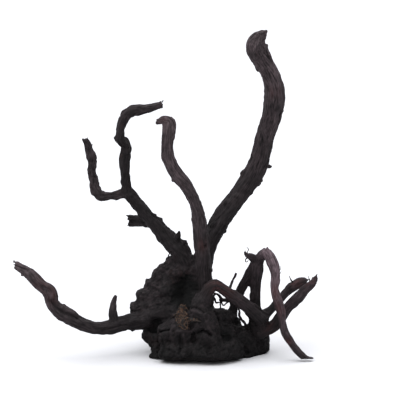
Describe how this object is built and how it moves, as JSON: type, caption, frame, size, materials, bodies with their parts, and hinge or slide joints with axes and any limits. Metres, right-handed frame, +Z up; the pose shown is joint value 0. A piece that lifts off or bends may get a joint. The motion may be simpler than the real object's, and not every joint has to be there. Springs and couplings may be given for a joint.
{
  "type": "bogwood",
  "caption": "Black peat-preserved root stump with bare, twisting limbs and roots, standing on its flat foot; aquarium or terrarium decoration.",
  "frame": {"origin": "middle of the flat foot, on the surface that the wood stands on", "axes": "+Z up; seen from the front, looking along +Y, +X is to the right, where the tall limb and the long leg are"},
  "size_m": [0.3036, 0.0998, 0.326],
  "materials": {
    "stump_wood": "peat-blackened rotted wood, dull, pitted and craggy, with brown root fibre in its hollows",
    "limb_wood": "bare peat-blackened wood, matt, with fine lengthwise grain and greyish worn ridges",
    "root_wood": "bare peat-blackened root, matt, with reddish-brown worn streaks"
  },
  "bodies": {
    "root": {"stump": "stump_wood", "trunk": "stump_wood", "root_knot": "stump_wood", "tall_limb": "limb_wood", "middle_limb": "limb_wood", "left_limb": "limb_wood", "knotted_arm": "limb_wood", "left_finger": "limb_wood", "broken_stub": "limb_wood", "low_limb": "limb_wood", "arch_root": "root_wood", "prop_root": "root_wood", "long_leg": "root_wood", "upper_fork": "root_wood", "lower_fork": "root_wood"}
  },
  "joints": []
}
